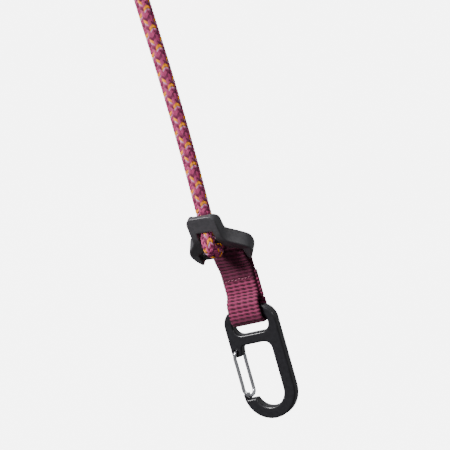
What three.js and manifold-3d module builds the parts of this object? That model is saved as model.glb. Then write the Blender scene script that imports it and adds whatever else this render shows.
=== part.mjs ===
// Cord lock with its strap end: an adjustable cord, the moulded lock, a sewn webbing tab and a wire-gate clip.
// Millimetres, +Z up, the front faces -Y. The part hangs from the eye of its cord, and the origin is the
// inside top of that eye, where a hook or a finger carries it.
import * as THREE from "three";
import { mergeVertices } from "three/addons/utils/BufferGeometryUtils.js";
import Module from "manifold-3d";

const wasm = await Module();
wasm.setup();

// ---- Driving dimensions ----
const GAP = 0.3; // clearance kept between neighbouring pieces

const CORD_D = 4.7; // braided cord, relaxed
const CORD_SQUEEZED_D = 4.2; // the same cord where the lock's bars squeeze it
const CORD_SIDES = 10;
const EYE_HEIGHT = 17; // inside top of the eye to the whipping
const WHIPPING_LENGTH = 12; // thread whipping that closes the eye
const WHIPPING_WALL = 0.6;
const WHIPPING_Z = -EYE_HEIGHT - WHIPPING_LENGTH; // underside of the whipping

const LOCK_Z = -108; // height of the lock's reference point, on the middle of its front face
const LOCK_X = -1.8; // the cord's standing part is one of the eye's two legs, so the lock hangs left of the origin
const LOCK_Y = -2.2; // the reference point lies this far in front of the cord's axis
const LOCK_ROLL = THREE.MathUtils.degToRad(4); // the off-centre webbing pulls the right side down
const LOCK_DEPTH = 4.6; // thickness of the rails, front to back
const LIP_DEPTH = 1.7; // thickness of the top lip bar
const LIP_HEIGHT = 5.4;
const LIP_CHAMFER = 1.1; // the lip's underside rises this much towards the back
const WINDOW_HALF = 2.65; // half width of the cord window
const REFERENCE_S = 9; // distance of the reference point from the lock's top edge, along the face

const GRIP_BAR = { y: 2.8, z: -0.6, halfDepth: 1.1, halfHeight: 0.8 };
const WEB_BAR = { y: 10.7, z: -6.3, radius: 1.1 };

const WEB_WIDTH = 10.6; // webbing of the sewn tab
const WEB_T = 1.2; // one layer of webbing
const TAB_X = 1.2; // the tab has slid towards the right end of its bar
const STITCH_Z = [-14.6, -20.6]; // the two rows of stitching, from the lock's reference point
const STITCH_D = 0.55;
const STITCH_INSET = 0.9; // each row stops short of the webbing's edges

const CLIP_TOP = -23.3; // top of the clip, from the lock's reference point
const CLIP_Y = 11.2;
const CLIP_HALF = 8.6; // half width
const CLIP_LENGTH = 35.4;
const CLIP_T = 3.6; // thickness
const CLIP_BAR = 3.8; // height of the bar that the webbing passes round
const CLIP_SPINE = 3.7; // width of the spine
const CLIP_CHAMFER = 0.35; // chamfer of the frame's edges
const WIRE_D = 1.1; // gate wire

// ---- Materials ----
const black = new THREE.MeshStandardMaterial({ color: 0x3a393c, roughness: 0.5, metalness: 0 });
const enamel = new THREE.MeshStandardMaterial({ color: 0x1f1e21, roughness: 0.35, metalness: 0.2 });
const steel = new THREE.MeshStandardMaterial({ color: 0xb8bcc0, roughness: 0.25, metalness: 1 });
const braid = new THREE.MeshStandardMaterial({ color: 0x8c3a66, roughness: 0.85, metalness: 0 });
const whip = new THREE.MeshStandardMaterial({ color: 0x4a1f38, roughness: 0.9, metalness: 0 });
const burgundy = new THREE.MeshStandardMaterial({ color: 0x6a2a46, roughness: 0.9, metalness: 0 });
const thread = new THREE.MeshStandardMaterial({ color: 0xa86a86, roughness: 0.9, metalness: 0 });

// ---- Helpers ----
const vec = (x, y, z) => new THREE.Vector3(x, y, z);

function solid(geometry, matrix) {
  const plain = geometry.clone();
  plain.deleteAttribute("normal");
  plain.deleteAttribute("uv");
  if (matrix) plain.applyMatrix4(matrix);
  const merged = mergeVertices(plain, 1e-4);
  const mesh = new wasm.Mesh({
    numProp: 3,
    vertProperties: merged.attributes.position.array,
    triVerts: new Uint32Array(merged.index.array),
  });
  return new wasm.Manifold(mesh);
}

function geometryOf(manifold) {
  const mesh = manifold.getMesh();
  const geometry = new THREE.BufferGeometry();
  geometry.setAttribute("position", new THREE.BufferAttribute(new Float32Array(mesh.vertProperties), 3));
  geometry.setIndex(new THREE.BufferAttribute(new Uint32Array(mesh.triVerts), 1));
  return geometry;
}

// A closed outline in the (y, z) plane, drawn as shape x = y and shape y = z, pushed from x = low to x = high.
function extrudeAlongX(shape, low, high, curveSegments = 8) {
  const geometry = new THREE.ExtrudeGeometry(shape, { depth: high - low, bevelEnabled: false, curveSegments });
  const turn = new THREE.Matrix4().makeBasis(vec(0, 1, 0), vec(0, 0, 1), vec(1, 0, 0));
  geometry.applyMatrix4(turn);
  geometry.translate(low, 0, 0);
  return geometry;
}

// A closed outline in the (x, z) plane, pushed from y = front to y = back, with its edges broken by a chamfer.
function extrudeAlongY(shape, front, back, chamfer, curveSegments) {
  const geometry = new THREE.ExtrudeGeometry(shape, {
    depth: back - front - 2 * chamfer,
    bevelThickness: chamfer,
    bevelSize: chamfer,
    bevelOffset: -chamfer,
    bevelSegments: 1,
    curveSegments,
  });
  geometry.translate(0, 0, chamfer);
  const turn = new THREE.Matrix4().makeBasis(vec(1, 0, 0), vec(0, 0, 1), vec(0, -1, 0));
  geometry.applyMatrix4(turn);
  geometry.translate(0, back, 0);
  return geometry;
}

function circle(radius, sides) {
  const shape = new THREE.Shape();
  for (let i = 0; i < sides; i++) {
    const a = (2 * Math.PI * i) / sides;
    if (i === 0) shape.moveTo(radius, 0);
    else shape.lineTo(radius * Math.cos(a), radius * Math.sin(a));
  }
  shape.closePath();
  return shape;
}

function tube(points, diameter, steps, sides = CORD_SIDES) {
  const path = new THREE.CatmullRomCurve3(points, false, "centripetal");
  return new THREE.ExtrudeGeometry(circle(diameter / 2, sides), { steps, extrudePath: path });
}

const root = new THREE.Group();
function part(name, geometry, material, parent = root) {
  const mesh = new THREE.Mesh(geometry, material);
  mesh.name = name;
  parent.add(mesh);
  return mesh;
}

// ---- Cord: eye, whipping and standing part ----
const half = CORD_D / 2;
const eyeSide = [
  vec(-half, 0, -EYE_HEIGHT + GAP),
  vec(-half, 0, -EYE_HEIGHT + 1.4),
  vec(-half - 1.2, 0, -12.0),
  vec(-6.3, 0, -6.5),
  vec(-5.6, 0, -0.8),
];
const eyeOtherSide = eyeSide.map((p) => vec(-p.x, p.y, p.z)).reverse();
part("cord_eye", tube([...eyeSide, vec(0, 0, half), ...eyeOtherSide], CORD_D, 32), braid);

function whippingShape() {
  const r = half + WHIPPING_WALL;
  const shape = new THREE.Shape();
  shape.moveTo(-half, -r);
  shape.lineTo(half, -r);
  shape.absarc(half, 0, r, -Math.PI / 2, Math.PI / 2, false);
  shape.lineTo(-half, r);
  shape.absarc(-half, 0, r, Math.PI / 2, (3 * Math.PI) / 2, false);
  return shape;
}
const whipping = new THREE.ExtrudeGeometry(whippingShape(), {
  depth: WHIPPING_LENGTH,
  bevelEnabled: false,
  curveSegments: 8,
});
whipping.translate(0, 0, WHIPPING_Z);
part("eye_whipping", whipping, whip);

const STANDING_END = LOCK_Z + 6; // the standing part ends behind the lip bar, where the bight begins
const standingRoute = [
  vec(-half, 0, WHIPPING_Z - GAP),
  vec(-half, 0, WHIPPING_Z - 1.6),
  vec(-2.2, 0, -38),
  vec(-1.7, 0, -54),
  vec(-1.5, 0, -70),
  vec(-1.55, 0, -86),
  vec(LOCK_X, 0, -98),
  vec(LOCK_X, 0, STANDING_END),
];
part("cord_standing", tube(standingRoute, CORD_D, 12), braid);

// ---- The lock, on its own rolled group ----
const lock = new THREE.Group();
lock.position.set(LOCK_X, LOCK_Y, LOCK_Z);
lock.rotation.y = LOCK_ROLL;
root.add(lock);

// The front face is a ruled surface: flat at the lip, rolling back at the waist, flat again over the
// shoulders, then turning down at the foot. Its pitch, from upright, depends on the distance s from the top.
const PITCH = { lip: 22, shoulder: 55, foot: 40, bendFrom: 5, bendTo: 11.5, crease: 16.8, end: 22.2 };
function pitchAt(s) {
  if (s > PITCH.crease) return THREE.MathUtils.degToRad(PITCH.foot);
  const t = THREE.MathUtils.smoothstep(s, PITCH.bendFrom, PITCH.bendTo);
  return THREE.MathUtils.degToRad(THREE.MathUtils.lerp(PITCH.lip, PITCH.shoulder, t));
}
function faceAt(s) {
  const steps = 160;
  let y = 0;
  let z = 0;
  const ds = (s - REFERENCE_S) / steps;
  for (let i = 0; i < steps; i++) {
    const pitch = pitchAt(REFERENCE_S + (i + 0.5) * ds);
    y += Math.sin(pitch) * ds;
    z -= Math.cos(pitch) * ds;
  }
  return { y, z, pitch: pitchAt(s) };
}
// The point across the lock at u, along the face at s and behind it by depth.
function onLock(u, s, depth) {
  const face = faceAt(s);
  return vec(u, face.y + Math.cos(face.pitch) * depth, face.z + Math.sin(face.pitch) * depth);
}

// Half width of the moulding at a distance s from the top edge: rounded top corners, nearly parallel beside
// the cord, flaring out over the shoulders and drawn in again down the foot.
const WAIST_HALF = 4.8;
const FLARE = { from: 7.5, to: 17.6, width: 5 };
const FOOT_DRAW = { from: 17, width: 2 };
const CORNER = { length: 2.4, width: 2.1 };
function outerHalf(s) {
  const fromEnd = Math.max(0, 1 - s / CORNER.length);
  const corner = CORNER.width * (1 - Math.sqrt(1 - fromEnd ** 2));
  const flare = FLARE.width * THREE.MathUtils.smoothstep(s, FLARE.from, FLARE.to);
  const down = Math.max(0, s - FOOT_DRAW.from) / (PITCH.end - FOOT_DRAW.from);
  return WAIST_HALF + 0.02 * s - corner + flare - FOOT_DRAW.width * down ** 2;
}
// Half width of the opening: the cord window above, then widening for the webbing.
const SLOT = { from: 9, to: 17.2, half: 7.4 };
function openingHalf(s) {
  const t = THREE.MathUtils.clamp((s - SLOT.from) / (SLOT.to - SLOT.from), 0, 1);
  return Math.min(WINDOW_HALF + (SLOT.half - WINDOW_HALF) * t ** 3.5, outerHalf(s) - 0.5);
}

// A moulding made of cells: each station s has lines across it, and each cell between two stations, two
// lines and two depths is solid or empty. Only the faces between solid and empty are kept.
function cellSolid(stations, lines, depths, filled) {
  const rows = stations.length;
  const columns = lines(0).length;
  const layers = depths(0).length;
  const grid = stations.map((s, i) =>
    lines(s).map((u) => depths(s).map((d) => onLock(u, s, d))),
  );
  const positions = [];
  const isFilled = (i, j, k) =>
    i >= 0 && j >= 0 && k >= 0 && i < rows - 1 && j < columns - 1 && k < layers - 1 &&
    filled((stations[i] + stations[i + 1]) / 2, j, k);
  const quad = (a, b, c, d) => {
    for (const p of [a, b, c, a, c, d]) positions.push(p.x, p.y, p.z);
  };
  for (let i = 0; i < rows - 1; i++) {
    for (let j = 0; j < columns - 1; j++) {
      for (let k = 0; k < layers - 1; k++) {
        if (!isFilled(i, j, k)) continue;
        const p = (a, b, c) => grid[i + a][j + b][k + c];
        if (!isFilled(i - 1, j, k)) quad(p(0, 0, 0), p(0, 1, 0), p(0, 1, 1), p(0, 0, 1));
        if (!isFilled(i + 1, j, k)) quad(p(1, 0, 0), p(1, 0, 1), p(1, 1, 1), p(1, 1, 0));
        if (!isFilled(i, j - 1, k)) quad(p(0, 0, 0), p(0, 0, 1), p(1, 0, 1), p(1, 0, 0));
        if (!isFilled(i, j + 1, k)) quad(p(0, 1, 0), p(1, 1, 0), p(1, 1, 1), p(0, 1, 1));
        if (!isFilled(i, j, k - 1)) quad(p(0, 0, 0), p(1, 0, 0), p(1, 1, 0), p(0, 1, 0));
        if (!isFilled(i, j, k + 1)) quad(p(0, 0, 1), p(0, 1, 1), p(1, 1, 1), p(1, 0, 1));
      }
    }
  }
  const geometry = new THREE.BufferGeometry();
  geometry.setAttribute("position", new THREE.Float32BufferAttribute(positions, 3));
  return geometry;
}

const FRAME_STATIONS = [
  0, 0.1, 0.32, 0.7, 1.2, 1.8, 2.4, 3.4, 4.2, LIP_HEIGHT, 6.5, 7.6, 8.6, 9.4, 10.2, 11, 11.8, 12.6, 13.4, 14.1,
  14.8, 15.4, 15.9, 16.3, 16.8, 17.2, 17.8, 18.8, 19.8, 20.7, 21.5, PITCH.end,
];
const frameLines = (s) => [-outerHalf(s), -openingHalf(s), openingHalf(s), outerHalf(s)];
// The rails' back corners are rounded off at the top.
const BACK_ROUND = { length: 4.2, depth: 2.7 };
const frameDepths = (s) => {
  const cut = s < BACK_ROUND.length ? BACK_ROUND.depth * (1 - s / BACK_ROUND.length) ** 2 : 0;
  return [0, LIP_DEPTH, LOCK_DEPTH - cut];
};
const frameFilled = (s, j, k) => j !== 1 || (k === 0 && s < LIP_HEIGHT);
let frame = solid(cellSolid(FRAME_STATIONS, frameLines, frameDepths, frameFilled));

function ellipse(y, z, a, b) {
  const shape = new THREE.Shape();
  shape.absellipse(y, z, a, b, 0, 2 * Math.PI, false, 0);
  return shape;
}
const grip = ellipse(GRIP_BAR.y, GRIP_BAR.z, GRIP_BAR.halfDepth, GRIP_BAR.halfHeight);
const webBar = ellipse(WEB_BAR.y, WEB_BAR.z, WEB_BAR.radius, WEB_BAR.radius);
frame = frame.add(solid(extrudeAlongX(grip, -4.2, 4.2, 9)));
frame = frame.add(solid(extrudeAlongX(webBar, -8.2, 8.2, 9)));

// The lip's underside is cut back on a slope, so that the cord can turn round it.
const lipCut = new THREE.Shape();
const lipFront = onLock(0, LIP_HEIGHT, 0);
const lipBack = onLock(0, LIP_HEIGHT - LIP_CHAMFER, LIP_DEPTH + 0.05);
const lipBelow = onLock(0, LIP_HEIGHT + 1, LIP_DEPTH + 0.05);
lipCut.moveTo(lipFront.y, lipFront.z);
lipCut.lineTo(lipBelow.y, lipBelow.z);
lipCut.lineTo(lipBack.y, lipBack.z);
frame = frame.subtract(solid(extrudeAlongX(lipCut, -WINDOW_HALF, WINDOW_HALF)));
part("lock_frame", geometryOf(frame), black, lock);

// ---- The cord through the lock: bight over the grip bar, then the tail behind the webbing ----
// Points are (x, y, z) from the lock's reference point, in the part's own upright axes.
const fromLock = (x, y, z) => vec(x + LOCK_X, y + LOCK_Y, z + LOCK_Z);
const bightRoute = [
  fromLock(0, 2.2, 6 - GAP),
  fromLock(0, 2.05, 4.8),
  fromLock(0, 1.4, 3.4),
  fromLock(0, 0.45, 2.0),
  fromLock(0, -0.35, 0.6),
  fromLock(0, -0.65, -0.9),
  fromLock(0, -0.1, -2.4),
  fromLock(0, 1.2, -3.5),
  fromLock(0, 2.8, -3.85),
  fromLock(-0.1, 4.4, -3.5),
  fromLock(-0.3, 6.0, -2.55),
  fromLock(-0.5, 7.5, -1.3),
  fromLock(-0.8, 9.3, -0.4),
  fromLock(-1.1, 11.3, -0.25),
  fromLock(-1.5, 13.3, -1.0),
  fromLock(-1.8, 15.4, -2.5),
  fromLock(-2.0, 17.3, -4.6),
  fromLock(-2.2, 18.8, -7.3),
  fromLock(-2.3, 19.4, -8.9),
  fromLock(-2.3, 19.5, -10.2),
];
part("cord_bight", tube(bightRoute, CORD_SQUEEZED_D, 40), braid);

const KNOT_LENGTH = 9.5;
const KNOT_D = 10;
const knotPoints = [new THREE.Vector2(0, 0)];
const KNOT_STEPS = 8;
for (let i = 1; i < KNOT_STEPS; i++) {
  const a = (Math.PI * i) / KNOT_STEPS;
  knotPoints.push(new THREE.Vector2((KNOT_D / 2) * Math.sin(a) ** 0.7, (KNOT_LENGTH / 2) * (1 - Math.cos(a))));
}
knotPoints.push(new THREE.Vector2(0, KNOT_LENGTH));
const knot = new THREE.LatheGeometry(knotPoints, 14);
knot.rotateX(Math.PI / 2);
const knotMesh = part("tail_knot", knot, braid);
knotMesh.position.copy(fromLock(-2.3, 19.5, -10.2 - GAP - KNOT_LENGTH));

// ---- Webbing tab: a strip folded round the lock's bar and the clip's bar, its ends sewn between ----
const innerTop = WEB_BAR.radius + 0.4; // inside of the fold round the lock's bar
const innerLow = CLIP_T / 2 + 0.65; // inside of the fold round the clip's bar, wide enough for it to turn
const TAB_MID_Y = CLIP_Y - 0.1;

// A fold that hangs under the clip's bar: down one side, round two corners and up the other side.
function foldUnder(path, halfWidth, bottom, corner) {
  path.lineTo(CLIP_Y - halfWidth, bottom + corner);
  path.quadraticCurveTo(CLIP_Y - halfWidth, bottom, CLIP_Y - halfWidth + corner, bottom);
  path.lineTo(CLIP_Y + halfWidth - corner, bottom);
  path.quadraticCurveTo(CLIP_Y + halfWidth, bottom, CLIP_Y + halfWidth, bottom + corner);
}

// The webbing's profile, seen from the side: each fold is a loop, and between them the layers lie together.
function tabOutline() {
  const outerTop = innerTop + WEB_T;
  const outerLow = innerLow + WEB_T;
  const innerBottom = CLIP_TOP - CLIP_BAR - 0.55;
  const outerBottom = innerBottom - WEB_T;
  const shape = new THREE.Shape();
  shape.absarc(WEB_BAR.y, WEB_BAR.z, outerTop, 0, Math.PI, false);
  shape.bezierCurveTo(WEB_BAR.y - outerTop, -9.2, TAB_MID_Y - WEB_T, -10.2, TAB_MID_Y - WEB_T, -12.5);
  shape.lineTo(TAB_MID_Y - WEB_T, -18.5);
  shape.bezierCurveTo(TAB_MID_Y - WEB_T, -20.5, CLIP_Y - outerLow, -20.8, CLIP_Y - outerLow, -23.2);
  foldUnder(shape, outerLow, outerBottom, 2.4);
  shape.lineTo(CLIP_Y + outerLow, -23.2);
  shape.bezierCurveTo(CLIP_Y + outerLow, -21.4, TAB_MID_Y + 2 * WEB_T, -22.4, TAB_MID_Y + 2 * WEB_T, -21.2);
  shape.lineTo(TAB_MID_Y + 2 * WEB_T, -13.4);
  shape.lineTo(TAB_MID_Y + WEB_T + 0.1, -12.9);
  shape.bezierCurveTo(TAB_MID_Y + WEB_T, -10.2, WEB_BAR.y + outerTop, -9.2, WEB_BAR.y + outerTop, WEB_BAR.z);
  const upperEye = new THREE.Path();
  upperEye.absarc(WEB_BAR.y, WEB_BAR.z, innerTop, 0, Math.PI, false);
  upperEye.bezierCurveTo(WEB_BAR.y - innerTop, -8.9, TAB_MID_Y - 0.15, -9.3, TAB_MID_Y, -11.7);
  upperEye.bezierCurveTo(TAB_MID_Y + 0.15, -9.3, WEB_BAR.y + innerTop, -8.9, WEB_BAR.y + innerTop, WEB_BAR.z);
  const lowerEye = new THREE.Path();
  lowerEye.moveTo(CLIP_Y - innerLow, -23.0);
  foldUnder(lowerEye, innerLow, innerBottom, 1.2);
  lowerEye.lineTo(CLIP_Y + innerLow, -23.0);
  lowerEye.bezierCurveTo(CLIP_Y + innerLow, -22.0, TAB_MID_Y + 0.2, -22.2, TAB_MID_Y, -20.4);
  lowerEye.bezierCurveTo(TAB_MID_Y - 0.2, -22.2, CLIP_Y - innerLow, -22.0, CLIP_Y - innerLow, -23.0);
  shape.holes.push(upperEye, lowerEye);
  return shape;
}

let tab = solid(extrudeAlongX(tabOutline(), -WEB_WIDTH / 2, WEB_WIDTH / 2, 7));
// Each row of stitching lies in a shallow trough that it pulls into the front layer.
const stitchY = TAB_MID_Y - WEB_T - 0.05;
const troughRadius = STITCH_D / 2 + 0.12;
for (const z of STITCH_Z) {
  tab = tab.subtract(solid(extrudeAlongX(ellipse(stitchY, z, troughRadius, troughRadius), -WEB_WIDTH, WEB_WIDTH, 5)));
}
// The fold at the top follows the lock's bar, which the roll has tilted.
const barCentreX = WEB_BAR.z * Math.sin(LOCK_ROLL);
function tiltFold(geometry) {
  const position = geometry.attributes.position;
  for (let i = 0; i < position.count; i++) {
    const share = THREE.MathUtils.smoothstep(position.getZ(i), -12, -7.5);
    const offset = position.getX(i) + TAB_X - barCentreX;
    position.setZ(i, position.getZ(i) - share * offset * Math.tan(LOCK_ROLL));
  }
  return geometry;
}
const tabGroup = new THREE.Group();
tabGroup.position.set(LOCK_X + TAB_X, LOCK_Y, LOCK_Z);
root.add(tabGroup);
part("webbing_tab", tiltFold(geometryOf(tab)), burgundy, tabGroup);

["stitch_row_upper", "stitch_row_lower"].forEach((name, i) => {
  const reach = WEB_WIDTH / 2 - STITCH_INSET;
  const ends = [vec(-reach, stitchY, STITCH_Z[i]), vec(reach, stitchY, STITCH_Z[i])];
  part(name, tube(ends, STITCH_D, 1, 8), thread, tabGroup);
});

// ---- Clip: flat frame with a webbing window, a boss, a spine and a nose ----
const clip = new THREE.Group();
clip.position.set(LOCK_X + TAB_X, LOCK_Y + CLIP_Y, LOCK_Z + CLIP_TOP);
root.add(clip);

const BOW_Z = -CLIP_LENGTH + CLIP_HALF; // centre of the round bottom
const innerRight = CLIP_HALF - CLIP_SPINE;
const WINDOW_BOTTOM = -8.3; // bottom of the webbing window
const CROSS_BOTTOM = -11.5; // underside of the cross bar
const BOSS_BOTTOM = -14.7;
const NOSE_TOP = -26.3;
const LEDGE = -28.1; // the gate wire's bend rests just above this ledge
const PIVOT = { x: -7.0, z: -13.0 };
const WIRE_BEND = { x: -6.7, z: LEDGE + GAP + WIRE_D / 2 };

function clipOutline() {
  const corner = 5.2;
  const h = CLIP_HALF;
  const shape = new THREE.Shape();
  shape.absarc(0, BOW_Z, h, Math.PI, 2 * Math.PI, false);
  shape.absarc(h - corner, -corner, corner, 0, Math.PI / 2, false);
  shape.absarc(corner - h, -corner, corner, Math.PI / 2, Math.PI, false);
  shape.lineTo(-h, BOSS_BOTTOM + 1.2);
  shape.quadraticCurveTo(-h, BOSS_BOTTOM, -h + 1.2, BOSS_BOTTOM);
  shape.lineTo(-6.2, BOSS_BOTTOM);
  shape.quadraticCurveTo(-5.2, BOSS_BOTTOM, -5.2, BOSS_BOTTOM + 1);
  shape.quadraticCurveTo(-5.1, CROSS_BOTTOM, -3.8, CROSS_BOTTOM);
  shape.absarc(innerRight - 2.4, CROSS_BOTTOM - 2.4, 2.4, Math.PI / 2, 0, true);
  shape.absarc(0, BOW_Z, innerRight, 0, Math.asin((BOW_Z - LEDGE) / innerRight) - Math.PI, true);
  shape.lineTo(WIRE_BEND.x - WIRE_D / 2 - GAP, LEDGE);
  shape.lineTo(WIRE_BEND.x - WIRE_D / 2 - GAP, NOSE_TOP);
  shape.lineTo(-h, NOSE_TOP);
  const window = new THREE.Path();
  const w = 5.9;
  window.absarc(-w + 2.6, WINDOW_BOTTOM + 2.6, 2.6, Math.PI, 1.5 * Math.PI, false);
  window.absarc(w - 2.6, WINDOW_BOTTOM + 2.6, 2.6, 1.5 * Math.PI, 2 * Math.PI, false);
  window.lineTo(w, -CLIP_BAR - 1.2);
  window.quadraticCurveTo(w, -CLIP_BAR, w - 1.2, -CLIP_BAR);
  window.lineTo(-w + 1.2, -CLIP_BAR);
  window.quadraticCurveTo(-w, -CLIP_BAR, -w, -CLIP_BAR - 1.2);
  shape.holes.push(window);
  return shape;
}
let clipFrame = solid(extrudeAlongY(clipOutline(), -CLIP_T / 2, CLIP_T / 2, CLIP_CHAMFER, 7));
// A blind hole in each face of the boss takes one end of the gate wire.
const holeRadius = WIRE_D / 2 + GAP;
const HOLE_DEPTH = 1.1;
for (const side of [-1, 1]) {
  const hole = new THREE.CylinderGeometry(holeRadius, holeRadius, 2 * HOLE_DEPTH, 14);
  hole.translate(PIVOT.x, (side * CLIP_T) / 2, PIVOT.z);
  clipFrame = clipFrame.subtract(solid(hole));
}
part("clip_frame", geometryOf(clipFrame), enamel, clip);

// ---- Gate: one bent wire, its two ends in the boss and its bend on the nose ----
const legY = CLIP_T / 2 + GAP + WIRE_D / 2;
const LEG_OFFSET = 0.45; // the two legs stand this far left and right of the pivot, which springs the gate shut
function leg(side) {
  const x = PIVOT.x + LEG_OFFSET * side;
  return [
    vec(PIVOT.x, side * (CLIP_T / 2 - HOLE_DEPTH + GAP), PIVOT.z),
    vec(PIVOT.x, side * (legY - 0.7), PIVOT.z),
    vec(PIVOT.x + 0.05 * side, side * (legY - 0.12), PIVOT.z - 0.25),
    vec(x, side * legY, PIVOT.z - 1.5),
    vec(x, side * legY, PIVOT.z - 4),
    vec(x, side * legY, WIRE_BEND.z + 4),
    vec(x, side * legY, WIRE_BEND.z + 2.2),
    vec(WIRE_BEND.x + 0.2 * side, side * (legY - 0.3), WIRE_BEND.z + 0.9),
    vec(WIRE_BEND.x + 0.1 * side, side * (legY - 1.1), WIRE_BEND.z + 0.2),
  ];
}
const wireRoute = [...leg(-1), vec(WIRE_BEND.x, 0, WIRE_BEND.z), ...leg(1).reverse()];
part("gate_wire", tube(wireRoute, WIRE_D, 70, 8), steel, clip);

export default root;
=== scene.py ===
"""Cord lock with its strap end: braided cord, moulded lock, sewn webbing tab and wire-gate clip.

Lengths are in millimetres, and MM turns them into metres. Materials, floor and lights are in metres.
"""
import math

import bpy
import numpy as np
from mathutils import Matrix, Vector


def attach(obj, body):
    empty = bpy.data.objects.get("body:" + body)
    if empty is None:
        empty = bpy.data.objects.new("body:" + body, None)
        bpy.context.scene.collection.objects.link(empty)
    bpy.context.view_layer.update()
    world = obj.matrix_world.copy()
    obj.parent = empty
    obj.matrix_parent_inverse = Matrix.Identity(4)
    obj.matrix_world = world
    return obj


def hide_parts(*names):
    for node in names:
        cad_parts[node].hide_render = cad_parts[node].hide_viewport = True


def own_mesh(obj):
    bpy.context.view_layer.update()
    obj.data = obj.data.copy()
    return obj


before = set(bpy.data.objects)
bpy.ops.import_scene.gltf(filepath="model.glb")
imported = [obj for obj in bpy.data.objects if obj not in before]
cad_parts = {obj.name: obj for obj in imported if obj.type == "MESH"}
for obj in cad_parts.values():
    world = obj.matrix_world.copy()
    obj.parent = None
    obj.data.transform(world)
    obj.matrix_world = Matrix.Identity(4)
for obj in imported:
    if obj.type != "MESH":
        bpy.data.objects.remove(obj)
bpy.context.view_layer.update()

MM = 0.001

# ---- Dimensions shared with the CAD model, in millimetres ----
LOCK = np.array([-1.8, -2.2, -108.0])  # the lock's reference point, on the middle of its front face
LOCK_ROLL = math.radians(4)
GAP = 0.3  # clearance kept between neighbouring pieces
CORD_R = 2.35
SQUEEZED_R = 2.1  # where the lock's bars squeeze the cord
WHIPPING_TOP = -17.0
WHIPPING_LENGTH = 12.0
JOIN_Z = -102.15  # height at which the standing part ends and the bight begins

# Positions of the tab and the clip are measured from the lock's reference point.
TAB_X = 1.2
TAB_MID_Y = 11.1
WEB_WIDTH = 10.6
WEB_T = 1.2
WEB_BAR = (10.7, -6.3)
WEB_BAR_R = 1.1
CLIP_Y = 11.2
CLIP_TOP = -23.3
CLIP_T = 3.6
CLIP_BAR = 3.8  # height of the clip's bar that the webbing passes round
WIRE_D = 1.1

# ---- Camera, at the photograph's angle ----
AZIMUTH = math.radians(25)
ELEVATION = math.radians(7)
ROLL = math.atan2(0.272, 0.962)  # the lean of the hanging cord in the picture
VIEW_WIDTH = 135.0
CAMERA_DISTANCE = 1200.0
SENSOR_WIDTH = 36.0
AIM = (4.9, 5.0)  # right and up of the lock's reference point, in the picture's plane


def camera_axes():
    """The picture's right, up and backward directions."""
    across = Vector((math.cos(AZIMUTH), math.sin(AZIMUTH), 0))
    forward = Vector((
        -math.sin(AZIMUTH) * math.cos(ELEVATION),
        math.cos(AZIMUTH) * math.cos(ELEVATION),
        -math.sin(ELEVATION),
    ))
    upright = across.cross(forward)
    right = across * math.cos(ROLL) - upright * math.sin(ROLL)
    up = across * math.sin(ROLL) + upright * math.cos(ROLL)
    return right, up, -forward


def add_camera():
    right, up, back = camera_axes()
    target = Vector(LOCK) + right * AIM[0] + up * AIM[1]
    place = (target + back * CAMERA_DISTANCE) * MM
    data = bpy.data.cameras.new("camera")
    data.sensor_width = SENSOR_WIDTH
    data.lens = SENSOR_WIDTH * CAMERA_DISTANCE / VIEW_WIDTH
    data.clip_start = 0.05
    data.clip_end = 200
    camera = bpy.data.objects.new("camera", data)
    rotation = Matrix((right, up, back)).transposed().to_4x4()
    camera.matrix_world = Matrix.Translation(place) @ rotation
    bpy.context.scene.collection.objects.link(camera)
    bpy.context.scene.camera = camera


add_camera()


# ---- Materials ----
# The colour mixing node has sockets that share a name, so they are picked by number.
MIX_FACTOR, MIX_FIRST, MIX_SECOND, MIX_RESULT = 0, 6, 7, 2


class Nodes:
    """A material's node tree, with short ways to add and link nodes."""

    def __init__(self, name, roughness, metallic=0.0, **sockets):
        self.material = bpy.data.materials.new(name)
        self.material.use_nodes = True
        self.tree = self.material.node_tree
        self.shader = self.tree.nodes["Principled BSDF"]
        self.shader.inputs["Roughness"].default_value = roughness
        self.shader.inputs["Metallic"].default_value = metallic
        for socket, value in sockets.items():
            self.shader.inputs[socket.replace("_", " ")].default_value = value

    def add(self, kind, **values):
        node = self.tree.nodes.new(kind)
        for key, value in values.items():
            if key in node.inputs:
                node.inputs[key].default_value = value
            else:
                setattr(node, key, value)
        return node

    def link(self, a, out, b, into):
        self.tree.links.new(a.outputs[out], b.inputs[into])

    def ramp(self, source, out, stops):
        node = self.add("ShaderNodeValToRGB")
        elements = node.color_ramp.elements
        while len(elements) < len(stops):
            elements.new(0.5)
        for element, (place, colour) in zip(elements, stops):
            element.position = place
            element.color = (*colour, 1)
        self.link(source, out, node, "Fac")
        return node

    def noise(self, scale, detail=3.0, stretch=None):
        coordinates = self.add("ShaderNodeTexCoord")
        node = self.add("ShaderNodeTexNoise", Scale=scale, Detail=detail)
        if stretch:
            mapping = self.add("ShaderNodeMapping", Scale=stretch)
            self.link(coordinates, "UV", mapping, "Vector")
            self.link(mapping, "Vector", node, "Vector")
        else:
            self.link(coordinates, "Object", node, "Vector")
        return node

    def bump(self, source, out, strength, distance):
        node = self.add("ShaderNodeBump", Strength=strength, Distance=distance)
        self.link(source, out, node, "Height")
        self.link(node, "Normal", self.shader, "Normal")


def shade(colour, factor):
    return tuple(min(1, c * factor) for c in colour)


BROAD = 0.12  # scale of the broad patches of colour and gloss, as a share of the fine grain's


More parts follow.
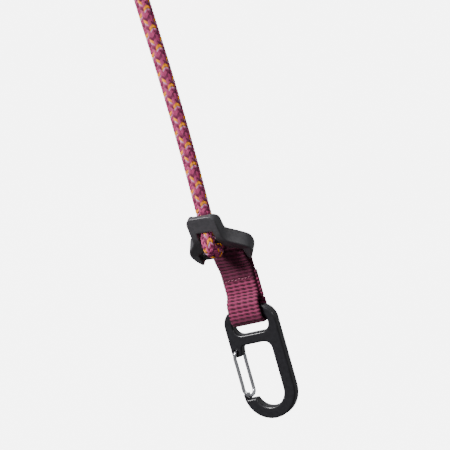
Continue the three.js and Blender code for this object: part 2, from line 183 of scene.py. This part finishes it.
def speckled(name, colour, shades, roughness, rough_range, scale, bump, distance, metallic=0.0):
    """Moulded, coated or drawn surface: fine grain, with slight changes of colour and gloss."""
    m = Nodes(name, roughness, metallic)
    wide = m.noise(scale * BROAD)
    colours = m.ramp(wide, "Fac", [(0.3, shade(colour, shades[0])), (0.7, shade(colour, shades[1]))])
    m.link(colours, "Color", m.shader, "Base Color")
    gloss = m.add("ShaderNodeMapRange")
    gloss.inputs["To Min"].default_value = rough_range[0]
    gloss.inputs["To Max"].default_value = rough_range[1]
    m.link(wide, "Fac", gloss, "Value")
    m.link(gloss, "Result", m.shader, "Roughness")
    fine = m.noise(scale)
    m.bump(fine, "Fac", bump, distance)
    return m.material


def fibre(name, colour, roughness=0.62, sheen=0.0):
    """Yarn: filaments run along the strand, so the grain is stretched that way."""
    m = Nodes(name, roughness, Sheen_Weight=sheen, Sheen_Roughness=0.5, Specular_IOR_Level=0.18)
    grain = m.noise(5.0, 4.0, stretch=(0.35, 6.0, 1.0))
    colours = m.ramp(grain, "Fac", [(0.25, shade(colour, 0.6)), (0.75, shade(colour, 1.35))])
    m.link(colours, "Color", m.shader, "Base Color")
    m.bump(grain, "Fac", 0.5, 0.00008)
    return m.material


def webbing_material(name, shaded_colour, bright):
    """Ribbed webbing: painted shade between the ribs, the full colour on them.

    webbing_strip stores two values for each vertex: rib is 1 on a rib, and the second value moves from
    painted shade to the lit colour.
    """
    m = Nodes(name, 0.8, Sheen_Weight=0.08, Sheen_Roughness=0.45, Specular_IOR_Level=0.2)
    rib = m.add("ShaderNodeAttribute", attribute_name="rib")
    painted_light = m.add("ShaderNodeAttribute", attribute_name="painted_light")
    # Painted shade: both colours are darkened in the grooves between the ribs.
    low = m.ramp(rib, "Fac", [(0.1, shade(shaded_colour, 0.35)), (0.8, shaded_colour)])
    high = m.ramp(rib, "Fac", [(0.12, shade(bright, 0.1)), (0.85, bright)])
    # Mixes the webbing's colour in painted shade with its lit colour, by the second attribute.
    mix = m.add("ShaderNodeMix", data_type="RGBA")
    m.link(painted_light, "Fac", mix, MIX_FACTOR)
    m.link(low, "Color", mix, MIX_FIRST)
    m.link(high, "Color", mix, MIX_SECOND)
    m.link(mix, MIX_RESULT, m.shader, "Base Color")
    grain = m.noise(9.0, 4.0, stretch=(4.0, 1.0, 1.0))
    m.bump(grain, "Fac", 0.45, 0.00008)
    return m.material


ORANGE = fibre("yarn_orange", (0.98, 0.29, 0.016))
LILAC = fibre("yarn_lilac", (0.50, 0.24, 0.38))
MAGENTA = fibre("yarn_magenta", (0.40, 0.058, 0.155))
BURGUNDY = fibre("yarn_burgundy", (0.165, 0.026, 0.072))
# The core is a real part of the cord. Its dark colour also stands for painted shade in the gaps between the
# strands.
CORE = fibre("cord_core", (0.05, 0.010, 0.026))
THREAD = fibre("sewing_thread", (0.24, 0.080, 0.12), roughness=0.85)
WHIPPING = fibre("whipping_thread", (0.07, 0.012, 0.035), roughness=0.45, sheen=0.35)
# The webbing's colour in painted shade, then its lit colour.
WEBBING = webbing_material("webbing_ribs", (0.084, 0.010, 0.032), (0.22, 0.029, 0.082))
PLASTIC = speckled(
    "satin_plastic", (0.042, 0.040, 0.044), shades=(0.85, 1.2), roughness=0.42, rough_range=(0.36, 0.46),
    scale=9000, bump=0.12, distance=0.00003,
)
ENAMEL = speckled(
    "satin_enamel", (0.009, 0.0085, 0.0105), shades=(0.8, 1.25), roughness=0.3, rough_range=(0.24, 0.34),
    scale=7000, bump=0.06, distance=0.00002,
)
STEEL = speckled(
    "drawn_steel", (0.80, 0.81, 0.83), shades=(0.95, 1.04), roughness=0.2, rough_range=(0.14, 0.26),
    scale=8000, bump=0.01, distance=0.000005, metallic=1.0,
)


# ---- Geometry helpers, in millimetres ----
def catmull_rom(points, per_segment=24):
    """A centripetal Catmull-Rom curve through the points."""
    p = np.array(points, float)
    p = np.vstack([2 * p[0] - p[1], p, 2 * p[-1] - p[-2]])
    out = []
    for i in range(1, len(p) - 2):
        a, b, c, d = p[i - 1:i + 3]
        knots = [0.0]
        for u, v in ((a, b), (b, c), (c, d)):
            knots.append(knots[-1] + max(np.linalg.norm(v - u), 1e-6) ** 0.5)
        t0, t1, t2, t3 = knots
        for t in np.linspace(t1, t2, per_segment, endpoint=False):
            a1 = (t1 - t) / (t1 - t0) * a + (t - t0) / (t1 - t0) * b
            a2 = (t2 - t) / (t2 - t1) * b + (t - t1) / (t2 - t1) * c
            a3 = (t3 - t) / (t3 - t2) * c + (t - t2) / (t3 - t2) * d
            b1 = (t2 - t) / (t2 - t0) * a1 + (t - t0) / (t2 - t0) * a2
            b2 = (t3 - t) / (t3 - t1) * a2 + (t - t1) / (t3 - t1) * a3
            out.append((t2 - t) / (t2 - t1) * b1 + (t - t1) / (t2 - t1) * b2)
    out.append(p[-2])
    return np.array(out)


def arc_length(path):
    return np.concatenate([[0], np.cumsum(np.linalg.norm(np.diff(path, axis=0), axis=1))])


def resample(path, step):
    s = arc_length(path)
    count = max(2, int(round(s[-1] / step)) + 1)
    at = np.linspace(0, s[-1], count)
    return np.stack([np.interp(at, s, path[:, k]) for k in range(3)], axis=1)


def normalised(v):
    return v / np.linalg.norm(v, axis=-1, keepdims=True)


def smooth_step(t):
    """0 up to t = 0, 1 from t = 1, and a smooth rise between."""
    t = np.clip(t, 0, 1)
    return t * t * (3 - 2 * t)


def ovals(centre, first, second, sides, width, height=None):
    """A ring of points about each centre. width and height are half sizes along first and second."""
    turn = np.linspace(0, 2 * math.pi, sides, endpoint=False)
    width = np.reshape(width, (-1, 1, 1))
    height = width if height is None else height
    return (
        centre[:, None]
        + width * np.cos(turn)[None, :, None] * first[:, None]
        + height * np.sin(turn)[None, :, None] * second[:, None]
    )


class Line:
    """A path with frames that don't twist, which can be read at any distance along it."""

    def __init__(self, path, first_normal=(1, 0, 0)):
        self.path = resample(path, 0.1)
        self.s = arc_length(self.path)
        self.length = self.s[-1]
        tangent = normalised(np.gradient(self.path, axis=0))
        normal = np.array(first_normal, float)
        normals = []
        for t in tangent:
            normal = normal - t * np.dot(normal, t)
            normal = normal / np.linalg.norm(normal)
            normals.append(normal)
        self.tangent = tangent
        self.normal = np.array(normals)
        self.binormal = np.cross(tangent, self.normal)

    def at(self, s):
        """Points at the distances s, and the three directions of the frame at each."""
        def read(table):
            return np.stack([np.interp(s, self.s, table[:, k]) for k in range(3)], axis=1)
        directions = [normalised(read(table)) for table in (self.tangent, self.normal, self.binormal)]
        return (read(self.path), *directions)

    def metres(self, low=0.0, high=None, count=80):
        at = np.linspace(low, self.length if high is None else high, count)
        return self.at(at)[0] * MM


class Builder:
    """Collects rings of points into one mesh, with a material and a UV for each face."""

    def __init__(self):
        self.vertices, self.faces, self.slots, self.uvs = [], [], [], []
        self.count = 0

    def tube(self, rings, length_scale, slot=0, caps=True):
        """A skin over rings, an array of (steps, sides, 3).

        U runs along the tube, by length_scale for each ring, and V runs round it.
        """
        steps, sides, _ = rings.shape
        base = self.count
        self.vertices.append(rings.reshape(-1, 3))
        self.count += steps * sides
        for i in range(steps - 1):
            for j in range(sides):
                k = (j + 1) % sides
                a, b = base + i * sides, base + (i + 1) * sides
                self.faces.append((a + j, a + k, b + k, b + j))
                v0, v1 = i * length_scale, (i + 1) * length_scale
                u0, u1 = j / sides, (j + 1) / sides
                self.uvs += [(v0, u0), (v0, u1), (v1, u1), (v1, u0)]
                self.slots.append(slot)
        if caps:
            for ring, order in ((0, -1), (steps - 1, 1)):
                loop = [base + ring * sides + j for j in range(sides)][::order]
                self.faces.append(tuple(loop))
                self.uvs += [(0, 0)] * sides
                self.slots.append(slot)

    def finish(self, name, materials):
        mesh = bpy.data.meshes.new(name)
        mesh.from_pydata((np.vstack(self.vertices) * MM).tolist(), [], self.faces)
        layer = mesh.uv_layers.new(name="UVMap")
        layer.data.foreach_set("uv", np.array(self.uvs, np.float32).ravel())
        for m in materials:
            mesh.materials.append(m)
        mesh.polygons.foreach_set("material_index", np.array(self.slots, np.int32))
        mesh.polygons.foreach_set("use_smooth", np.ones(len(self.faces), bool))
        mesh.update()
        obj = bpy.data.objects.new(name, mesh)
        bpy.context.scene.collection.objects.link(obj)
        return obj


def wire_rings(path, radius, sides):
    """Round rings about a short path, using frames that don't twist."""
    line = Line(path)
    centre, _, normal, binormal = line.at(np.linspace(0, line.length, len(path)))
    return ovals(centre, normal, binormal, sides, radius)


# ---- Braided cord ----
LEAD = 12.2  # length in which one strand goes once round
CARRIERS = 12  # strands in each direction
YARN_MATERIALS = (ORANGE, LILAC, MAGENTA, BURGUNDY, CORE)
ORANGE_SLOT, LILAC_SLOT, MAGENTA_SLOT, BURGUNDY_SLOT, CORE_SLOT = range(len(YARN_MATERIALS))
# An orange tracer, the ground colours, and lilac just below the tracer.
COLOURS_S = (ORANGE_SLOT, MAGENTA_SLOT, MAGENTA_SLOT, BURGUNDY_SLOT, MAGENTA_SLOT, LILAC_SLOT)
# Set so that the two orange tracers meet and make a chevron.
COLOURS_Z = (LILAC_SLOT, BURGUNDY_SLOT, MAGENTA_SLOT, MAGENTA_SLOT, BURGUNDY_SLOT, ORANGE_SLOT)
COLUMN_PHASE = math.radians(58)  # turns the braid's columns to where they face in the picture
RING_STEP = 0.3  # distance between the rings of a strand
STRAND_DEPTH = 0.46  # from the cord's surface in to the middle of a strand
WEAVE = 0.25  # how far a strand rises over and dives under the ones it crosses
FLAT_TOP = 1.15  # more than 1 keeps a strand level for a while at its highest and lowest
SLOPE_DEPTH = 0.4  # depth at which the strands' slope is taken
YARN_APART = 0.17  # each of a strand's two yarns lies this far from the strand's middle
YARN_WIDTH, YARN_HEIGHT = 0.2, 0.21  # half sizes of a yarn
YARN_SIDES = 6
YARN_UV = 0.12  # length of texture from one ring to the next
CORE_DEPTH = 0.95  # from the cord's surface in to its core
CORE_SIDES = 20


def braid(name, line, low, high, radius):
    """Strands over two and under two, between low and high along the line, round a plain core.

    radius is a function of the distance.
    """
    builder = Builder()
    at = np.linspace(low, high, int((high - low) / RING_STEP) + 2)
    centre, tangent, normal, binormal = line.at(at)
    r = np.array([radius(s) for s in at])
    slope = np.arctan2(2 * math.pi * (r - SLOPE_DEPTH), LEAD)
    for direction, colours in ((1, COLOURS_S), (-1, COLOURS_Z)):
        for k in range(CARRIERS):
            phi = direction * 2 * math.pi * at / LEAD + 2 * math.pi * k / CARRIERS + COLUMN_PHASE
            over = direction * np.cos(CARRIERS / 2 * (phi - COLUMN_PHASE))
            over = np.clip(FLAT_TOP * over, -1, 1)
            out = np.cos(phi)[:, None] * normal + np.sin(phi)[:, None] * binormal
            around = -np.sin(phi)[:, None] * normal + np.cos(phi)[:, None] * binormal
            reach = (r - STRAND_DEPTH + WEAVE * over)[:, None]
            along = np.cos(slope)[:, None] * tangent + direction * np.sin(slope)[:, None] * around
            across = normalised(np.cross(along, out))
            for side in (-1, 1):
                middle = centre + reach * out + across * side * YARN_APART
                yarn = ovals(middle, across, out, YARN_SIDES, YARN_WIDTH, YARN_HEIGHT)
                colour = colours[k % len(colours)]
                if colour == LILAC_SLOT and side * direction < 0:
                    colour = MAGENTA_SLOT  # only the yarn next to the tracer is lilac
                builder.tube(yarn, YARN_UV, slot=colour)
    core = ovals(centre, normal, binormal, CORE_SIDES, r - CORE_DEPTH)
    builder.tube(core, YARN_UV, slot=CORE_SLOT)
    return builder.finish(name, YARN_MATERIALS)


def from_lock(x, y, z):
    return (x + LOCK[0], y + LOCK[1], z + LOCK[2])


STANDING = [
    (-2.35, 0, -29.3), (-2.35, 0, -30.6), (-2.2, 0, -38), (-1.7, 0, -54), (-1.5, 0, -70),
    (-1.55, 0, -86), (-1.8, 0, -98), (-1.8, 0, -102),
]
BIGHT = [from_lock(*p) for p in (
    (0, 2.05, 4.8), (0, 1.4, 3.4), (0, 0.45, 2.0), (0, -0.35, 0.6), (0, -0.65, -0.9), (0, -0.1, -2.4),
    (0, 1.2, -3.5), (0, 2.8, -3.85), (-0.1, 4.4, -3.5), (-0.3, 6.0, -2.55), (-0.5, 7.5, -1.3),
    (-0.8, 9.3, -0.4), (-1.1, 11.3, -0.25), (-1.5, 13.3, -1.0), (-1.8, 15.4, -2.5), (-2.0, 17.3, -4.6),
    (-2.2, 18.8, -7.3), (-2.3, 19.4, -8.9), (-2.3, 19.5, -10.2),
)]
cord_line = Line(catmull_rom(STANDING + BIGHT))
JOIN = float(cord_line.s[np.argmin(np.abs(cord_line.path[:, 2] - JOIN_Z))])
SQUEEZE_BEFORE = 3.0  # the cord begins to narrow this far before the join
SQUEEZE_LENGTH = 5.0  # and is at its narrowest this much further on


def cord_radius(s):
    return CORD_R + (SQUEEZED_R - CORD_R) * smooth_step((s - JOIN + SQUEEZE_BEFORE) / SQUEEZE_LENGTH)


standing = braid("cord_standing_braid", cord_line, 0, JOIN, cord_radius)
bight = braid("cord_bight_braid", cord_line, JOIN - 0.02, cord_line.length, cord_radius)
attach(standing, "cord")
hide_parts("cord_standing")
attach(bight, "lock")
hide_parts("cord_bight")

half_eye = [(-2.35, 0, -17.2), (-2.35, 0, -15.6), (-3.55, 0, -12.0), (-6.3, 0, -6.5), (-5.6, 0, -0.8)]
EYE = half_eye + [(0, 0, 2.35)] + [(-x, y, z) for x, y, z in reversed(half_eye)]
eye_line = Line(catmull_rom(EYE), first_normal=(0, 1, 0))
eye = braid("cord_eye_braid", eye_line, 0, eye_line.length, lambda s: CORD_R)
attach(eye, "cord")
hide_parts("cord_eye")

# Stopper knot: the tail wound in a close coil. It stands for the knot and isn't a traced one.
KNOT_TOP = np.array(from_lock(-2.3, 19.5, -10.5))
KNOT_TURN_R = 3.05
KNOT_CORD_R = 1.75
KNOT_TURNS = 2.4
KNOT_DROP = 6.6  # from the coil's first turn to its last
KNOT_WIDENING = 9  # the coil reaches its full width after one part in this many of its length


def knot_path():
    points = [KNOT_TOP + (0, 0, 0.4)]
    for t in np.linspace(0, 1, 34):
        angle = 2 * math.pi * KNOT_TURNS * t
        reach = KNOT_TURN_R * min(1, t * KNOT_WIDENING)
        points.append(KNOT_TOP + (reach * math.cos(angle), reach * math.sin(angle), -1.0 - KNOT_DROP * t))
    return catmull_rom(points, 10)


knot_line = Line(knot_path(), first_normal=(0, 1, 0))
knot = braid("tail_knot_braid", knot_line, 0, knot_line.length, lambda s: KNOT_CORD_R)
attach(knot, "lock")
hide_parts("tail_knot")

cord_line.metres(0, JOIN)
tuple(cord_line.metres(JOIN, JOIN + 0.1, 2)[0])
cord_line.metres(JOIN, cord_line.length)
eye_line.metres()


# ---- Whipping: thread wound round the two legs of the eye ----
WHIPPING_TURNS = 17
WHIPPING_THREAD_R = 0.33
THREAD_LIFT = 0.28  # from the cord's surface out to the thread's middle
FLAT_SIDES = 3.2  # more brings the outline closer to two half circles joined by straight lines
THREAD_INSET = 0.35  # the thread's middle stays this far inside the whipping's two ends
LEG_CORE_R = 2.28
CORE_PAST_END = 0.1  # the plain cores under the thread end this far outside the whipping


def whipping():
    builder = Builder()
    t = np.linspace(0, 1, WHIPPING_TURNS * 44)
    angle = 2 * math.pi * WHIPPING_TURNS * t
    reach = CORD_R + THREAD_LIFT
    # The legs touch, so each is one cord radius from the middle. tanh moves the turn from one to the other.
    x = reach * np.cos(angle) + CORD_R * np.tanh(FLAT_SIDES * np.cos(angle))
    y = reach * np.sin(angle)
    z = WHIPPING_TOP - THREAD_INSET - (WHIPPING_LENGTH - 2 * THREAD_INSET) * t
    path = np.stack([x, y, z], axis=1)
    tangent = normalised(np.gradient(path, axis=0))
    out = normalised(np.stack([np.cos(angle), np.sin(angle), 0 * angle], axis=1))
    side = normalised(np.cross(tangent, out))
    out = np.cross(side, tangent)
    thread = ovals(path, out, side, 8, WHIPPING_THREAD_R, 1.08 * WHIPPING_THREAD_R)
    builder.tube(thread, length_scale=0.1)
    across, back = np.eye(3)[:1], np.eye(3)[1:2]
    for leg in (-1, 1):
        z = np.linspace(WHIPPING_TOP + CORE_PAST_END, WHIPPING_TOP - WHIPPING_LENGTH - CORE_PAST_END, 30)
        middle = np.stack([0 * z + leg * CORD_R, 0 * z, z], axis=1)
        builder.tube(ovals(middle, across, back, 18, LEG_CORE_R), length_scale=0.1, slot=1)
    return builder.finish("eye_whipping_thread", (WHIPPING, CORE))


whip = whipping()
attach(whip, "cord")
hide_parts("eye_whipping")


# ---- Moulded lock and cast clip: the CAD solids with softly rounded edges ----
VOXEL = 0.13
RELAXING = 0.5  # each smoothing step moves a point this share of the way to its neighbours' middle


def softened(node, name, smooth, material, body):
    """A copy of a CAD solid, remeshed finely and relaxed, which rounds its edges as a mould does."""
    source = bpy.data.objects[node]
    mesh = source.data.copy()
    mesh.name = name
    mesh.transform(Matrix.Scale(1 / MM, 4))
    obj = bpy.data.objects.new(name, mesh)
    bpy.context.scene.collection.objects.link(obj)
    remesh = obj.modifiers.new("remesh", "REMESH")
    remesh.mode = "VOXEL"
    remesh.voxel_size = VOXEL
    relax = obj.modifiers.new("relax", "SMOOTH")
    relax.factor = RELAXING
    relax.iterations = smooth
    graph = bpy.context.evaluated_depsgraph_get()
    final = bpy.data.meshes.new_from_object(obj.evaluated_get(graph))
    obj.modifiers.clear()
    obj.data = final
    final.transform(Matrix.Scale(MM, 4))
    final.materials.clear()
    final.materials.append(material)
    final.polygons.foreach_set("use_smooth", np.ones(len(final.polygons), bool))
    final.update()
    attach(obj, body)
    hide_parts(node)


softened("lock_frame", "lock_moulding", 36, PLASTIC, "lock")
softened("clip_frame", "clip_casting", 14, ENAMEL, "clip")


# ---- Gate wire, measured from the middle of the clip's top ----
PIVOT_X, PIVOT_Z = -7.0, -13.0
LEDGE = -28.1  # the wire's bend rests just above this ledge of the clip
BEND_X, BEND_Z = -6.7, LEDGE + GAP + WIRE_D / 2
HOLE_DEPTH = 1.1  # depth of the hole in each face of the clip's boss
LEG_Y = CLIP_T / 2 + GAP + WIRE_D / 2
LEG_OFFSET = 0.45  # the two legs stand this far left and right of the pivot


def wire_leg(side):
    """Route of one leg, from its end in the boss to the start of the bend."""
    x = PIVOT_X + LEG_OFFSET * side
    return [
        (PIVOT_X, side * (CLIP_T / 2 - HOLE_DEPTH + GAP), PIVOT_Z),
        (PIVOT_X, side * (LEG_Y - 0.7), PIVOT_Z),
        (PIVOT_X + 0.05 * side, side * (LEG_Y - 0.12), PIVOT_Z - 0.25),
        (x, side * LEG_Y, PIVOT_Z - 1.5),
        (x, side * LEG_Y, PIVOT_Z - 4),
        (x, side * LEG_Y, BEND_Z + 4),
        (x, side * LEG_Y, BEND_Z + 2.2),
        (BEND_X + 0.2 * side, side * (LEG_Y - 0.3), BEND_Z + 0.9),
        (BEND_X + 0.1 * side, side * (LEG_Y - 1.1), BEND_Z + 0.2),
    ]


def gate_wire():
    route = wire_leg(-1) + [(BEND_X, 0, BEND_Z)] + wire_leg(1)[::-1]
    path = resample(catmull_rom(route), 0.18) + LOCK + (TAB_X, CLIP_Y, CLIP_TOP)
    builder = Builder()
    builder.tube(wire_rings(path, WIRE_D / 2, 16), length_scale=0.1)
    obj = builder.finish("gate_wire_bent", (STEEL,))
    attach(obj, "gate")
    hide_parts("gate_wire")


gate_wire()


# ---- Webbing tab ----
RIB = 1.15  # pitch of the ribs along the webbing
WARP = 1.05  # half the length of one dash of a groove, across the webbing
WEB_STEP = 0.11  # distance between the rings of the webbing
WEB_POINTS = 64  # points across one face
EDGE = 0.5  # width over which the webbing's edges round off
RELIEF = 0.2  # depth of the grooves between the ribs
GROOVE_POWER = 0.8  # less than 1 makes the grooves wider and their dashes fuller
GROOVE_LOW = 0.45  # a groove's depth at its shallowest, as a share of its full depth
RIB_WAVE = 0.06  # how far the ribs wander, as a share of their pitch
BAR_ROOM = 0.4  # between the fold and the lock's bar
CLIP_ROOM_Y, CLIP_ROOM_Z = 0.65, 0.55  # between the fold and the clip's bar, so that it can turn
FOLD_CORNER = 1.8  # the fold's corners under the clip's bar
TILT_FROM, TILT_LENGTH = -12.0, 4.5  # the webbing tilts with the lock above here, fully after this length
SHADED_ABOVE = -14.9  # painted shade on the webbing above its upper stitches, under the lock; its lit colour below them
FOLD_SHADE, FOLD_SHADE_FADE = -27.0, 2.2  # painted shade again at the fold, fading out over this length above it


def bezier(a, b, c, d):
    t = np.linspace(0, 1, 24)[:, None]
    a, b, c, d = (np.array(p, float) for p in (a, b, c, d))
    return (1 - t) ** 3 * a + 3 * t * (1 - t) ** 2 * b + 3 * t * t * (1 - t) * c + t ** 3 * d


def tab_loop():
    """Middle of the webbing's thickness in (y, z): over the lock's bar, down the front, and up the back."""
    reach = WEB_BAR_R + BAR_ROOM + WEB_T / 2
    bar_y, bar_z = WEB_BAR
    front, back = TAB_MID_Y - WEB_T / 2, TAB_MID_Y + 1.5 * WEB_T
    half_fold = CLIP_T / 2 + CLIP_ROOM_Y + WEB_T / 2
    left, right = CLIP_Y - half_fold, CLIP_Y + half_fold
    bottom = CLIP_TOP - CLIP_BAR - CLIP_ROOM_Z - WEB_T / 2
    angle = np.linspace(0, math.pi, 30)
    over = np.stack([bar_y + reach * np.cos(angle), bar_z + reach * np.sin(angle)], axis=1)
    turn = np.linspace(0, math.pi / 2, 14)
    growing = FOLD_CORNER * (1 - np.cos(turn))
    shrinking = FOLD_CORNER * (1 - np.sin(turn))
    first = np.stack([left + growing, bottom + shrinking], axis=1)
    second = np.stack([right - shrinking, bottom + growing], axis=1)
    return np.vstack([
        over,
        bezier((bar_y - reach, bar_z), (bar_y - reach, -9.2), (front, -10.2), (front, -12.5)),
        bezier((front, -18.5), (front, -20.5), (left, -20.8), (left, -23.2)),
        first,
        second,
        bezier((right, -23.2), (right, -21.4), (back, -22.4), (back, -21.2)),
        bezier((back, -13.4), (back, -10.8), (bar_y + reach, -9.2), (bar_y + reach, bar_z)),
    ])


def woven_face(path, normal, s, pitch, across, thickness, face):
    """Points of one face of the webbing, and how high each stands: 1 on a rib, less in a groove."""
    wave = RIB_WAVE * np.sin(math.pi * across / WARP)
    groove = (0.5 + 0.5 * np.cos(2 * math.pi * (s[:, None] / pitch + wave[None, :]))) ** GROOVE_POWER
    depth = GROOVE_LOW + (1 - GROOVE_LOW) * np.abs(np.sin(math.pi * across / (2 * WARP))) ** GROOVE_POWER
    relief = 1 - groove * depth[None, :]
    lift = thickness[None, :] - RELIEF * (1 - relief)
    sideways = across[None, :, None] * np.array([1.0, 0, 0])
    return path[:, None] + sideways + face * lift[:, :, None] * normal[:, None], relief


def webbing_strip(name, profile, width, shift, closed):
    """Webbing swept along a profile in (y, z). The ribs are real relief on both faces."""
    flat = np.column_stack([np.zeros(len(profile)), profile])
    keep = np.concatenate([[True], np.linalg.norm(np.diff(flat, axis=0), axis=1) > 1e-4])
    path = resample(flat[keep], WEB_STEP)
    s = arc_length(path)
    pitch = s[-1] / round(s[-1] / RIB) if closed else RIB
    if closed:
        path, s = path[:-1], s[:-1]
        tangent = normalised(np.roll(path, -1, axis=0) - np.roll(path, 1, axis=0))
    else:
        tangent = normalised(np.gradient(path, axis=0))
    normal = np.cross(tangent, np.array([1.0, 0, 0]))
    across = np.linspace(-width / 2, width / 2, WEB_POINTS)
    into_edge = np.clip(np.abs(across) - (width / 2 - EDGE), 0, EDGE) / EDGE
    round_off = np.sqrt(np.clip(1 - into_edge ** 2, 0, 1))
    thickness = 0.5 * WEB_T * (0.25 + 0.75 * round_off)
    back = slice(-2, 0, -1)  # the other face, without the two edge points that both share
    front_points, front_relief = woven_face(path, normal, s, pitch, across, thickness, 1)
    back_points, back_relief = woven_face(path, normal, s, pitch, across[back], thickness[back], -1)
    rings = np.concatenate([front_points, back_points], axis=1)
    relief = np.concatenate([front_relief, back_relief], axis=1)
    height = rings[:, :, 2].copy()
    rings[:, :, 0] += shift
    from_tilt_axis = rings[:, :, 0] + TAB_X - WEB_BAR[1] * math.sin(LOCK_ROLL)
    rings[:, :, 2] -= smooth_step((height - TILT_FROM) / TILT_LENGTH) * from_tilt_axis * math.tan(LOCK_ROLL)
    # Painted shade: 0 above the upper stitches, under the lock, and low again at the fold; 1 is the lit
    # colour.
    painted_light = np.clip((SHADED_ABOVE - height) / 0.5, 0, 1)
    painted_light *= np.clip((height - FOLD_SHADE) / FOLD_SHADE_FADE, 0.15, 1)
    rings += LOCK + (TAB_X, 0, 0)
    builder = Builder()
    if closed:
        rings = np.concatenate([rings, rings[:1]], axis=0)
    builder.tube(rings, length_scale=WEB_STEP, caps=not closed)
    if closed:  # the last ring is the first again
        kept = relief.size
        builder.vertices[0] = builder.vertices[0][:kept]
        builder.faces = [tuple(v % kept for v in face) for face in builder.faces]
    obj = builder.finish(name, (WEBBING,))
    for label, values in (("rib", relief), ("painted_light", painted_light)):
        attribute = obj.data.attributes.new(label, "FLOAT", "POINT")
        attribute.data.foreach_set("value", values.ravel().astype(np.float32))
    return obj, s[-1]


loop, loop_length = webbing_strip("webbing_loop", tab_loop(), WEB_WIDTH, 0, True)
# The sewn middle layer lies between the front and the back, and shows past the front's right edge.
middle_profile = np.array([(TAB_MID_Y + WEB_T / 2, z) for z in (-12.9, -17.0, -21.2)])
middle, _ = webbing_strip("webbing_middle_layer", middle_profile, WEB_WIDTH - 0.2, 1.05, False)
for piece in (loop, middle):
    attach(piece, "tab")
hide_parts("webbing_tab")


# ---- Stitching ----
STITCHES = 8
STITCH_MARGIN = 0.75  # the rows stop short of the webbing's edges
STITCH_R = 0.17


def stitch_row(name, node, height):
    """Short sunk stitches, each a thread that rises from one hole and goes down the next."""
    builder = Builder()
    front = TAB_MID_Y - WEB_T - 0.02
    row = WEB_WIDTH - 2 * STITCH_MARGIN
    pitch = row / STITCHES
    t = np.linspace(0, 1, 11)
    # A stitch covers about half the pitch. Its ends are sunk, and its middle stands just proud.
    for i in range(STITCHES):
        wander = 0.15 * math.sin(2.4 * i + height)
        x = -row / 2 + i * pitch + pitch * (0.22 + 0.06 * math.sin(5 * i) + 0.52 * t)
        y = front + 0.42 - 0.55 * np.sin(math.pi * t) ** 0.6
        z = height + wander + 0.1 * (t - 0.5)
        path = np.stack([x, y, z], axis=1) + LOCK + (TAB_X, 0, 0)
        builder.tube(wire_rings(path, STITCH_R, 8), length_scale=0.3)
    obj = builder.finish(name, (THREAD,))
    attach(obj, "tab")
    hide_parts(node)


stitch_row("stitches_upper", "stitch_row_upper", -14.6)
stitch_row("stitches_lower", "stitch_row_lower", -20.6)

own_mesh(standing)


# ---- Floor and light, in metres ----
FLOOR_HALF, FLOOR_HEIGHT = 60.0, -0.6
FLOOR_GLOW = 6.5
LIGHT_TARGET = (0, 0, -0.12)


def floor():
    """A pale ground seen only by the camera: it gives the object no light, reflection or shadow."""
    mesh = bpy.data.meshes.new("floor")
    signs = [(-1, -1), (1, -1), (1, 1), (-1, 1)]
    corners = [(x * FLOOR_HALF, y * FLOOR_HALF, FLOOR_HEIGHT) for x, y in signs]
    mesh.from_pydata(corners, [], [(0, 1, 2, 3)])
    m = Nodes("floor_paper", 0.95)
    tint = m.noise(0.8)
    colours = m.ramp(tint, "Fac", [(0.3, (0.90, 0.90, 0.90)), (0.7, (0.92, 0.92, 0.92))])
    m.link(colours, "Color", m.shader, "Base Color")
    m.link(colours, "Color", m.shader, "Emission Color")
    m.shader.inputs["Emission Strength"].default_value = FLOOR_GLOW
    mesh.materials.append(m.material)
    obj = bpy.data.objects.new("floor", mesh)
    obj.visible_diffuse = obj.visible_glossy = obj.visible_shadow = False
    bpy.context.scene.collection.objects.link(obj)


def studio_world():
    """A soft dome: bright overhead, dim below."""
    dome = bpy.data.worlds.new("studio")
    dome.use_nodes = True
    nodes, links = dome.node_tree.nodes, dome.node_tree.links
    coordinates = nodes.new("ShaderNodeTexCoord")
    split = nodes.new("ShaderNodeSeparateXYZ")
    ramp = nodes.new("ShaderNodeValToRGB")
    ramp.color_ramp.elements[0].color = (0.16, 0.16, 0.165, 1)
    ramp.color_ramp.elements[1].color = (0.45, 0.46, 0.47, 1)
    spread = nodes.new("ShaderNodeMapRange")
    spread.inputs["From Min"].default_value = -0.5
    links.new(coordinates.outputs["Generated"], split.inputs[0])
    links.new(split.outputs["Z"], spread.inputs["Value"])
    links.new(spread.outputs["Result"], ramp.inputs["Fac"])
    links.new(ramp.outputs["Color"], nodes["Background"].inputs["Color"])
    bpy.context.scene.world = dome


def area_light(name, place, energy, size):
    data = bpy.data.lights.new(name, "AREA")
    data.energy = energy
    data.size = size
    obj = bpy.data.objects.new(name, data)
    obj.location = place
    obj.rotation_euler = (Vector(LIGHT_TARGET) - Vector(place)).to_track_quat("-Z", "Y").to_euler()
    bpy.context.scene.collection.objects.link(obj)


floor()
studio_world()
area_light("key", (-0.3, -0.75, 0.5), 23, 0.3)
area_light("top", (0.12, 0.1, 0.75), 3, 0.3)
area_light("right", (0.8, -0.2, 0.15), 1.5, 0.25)
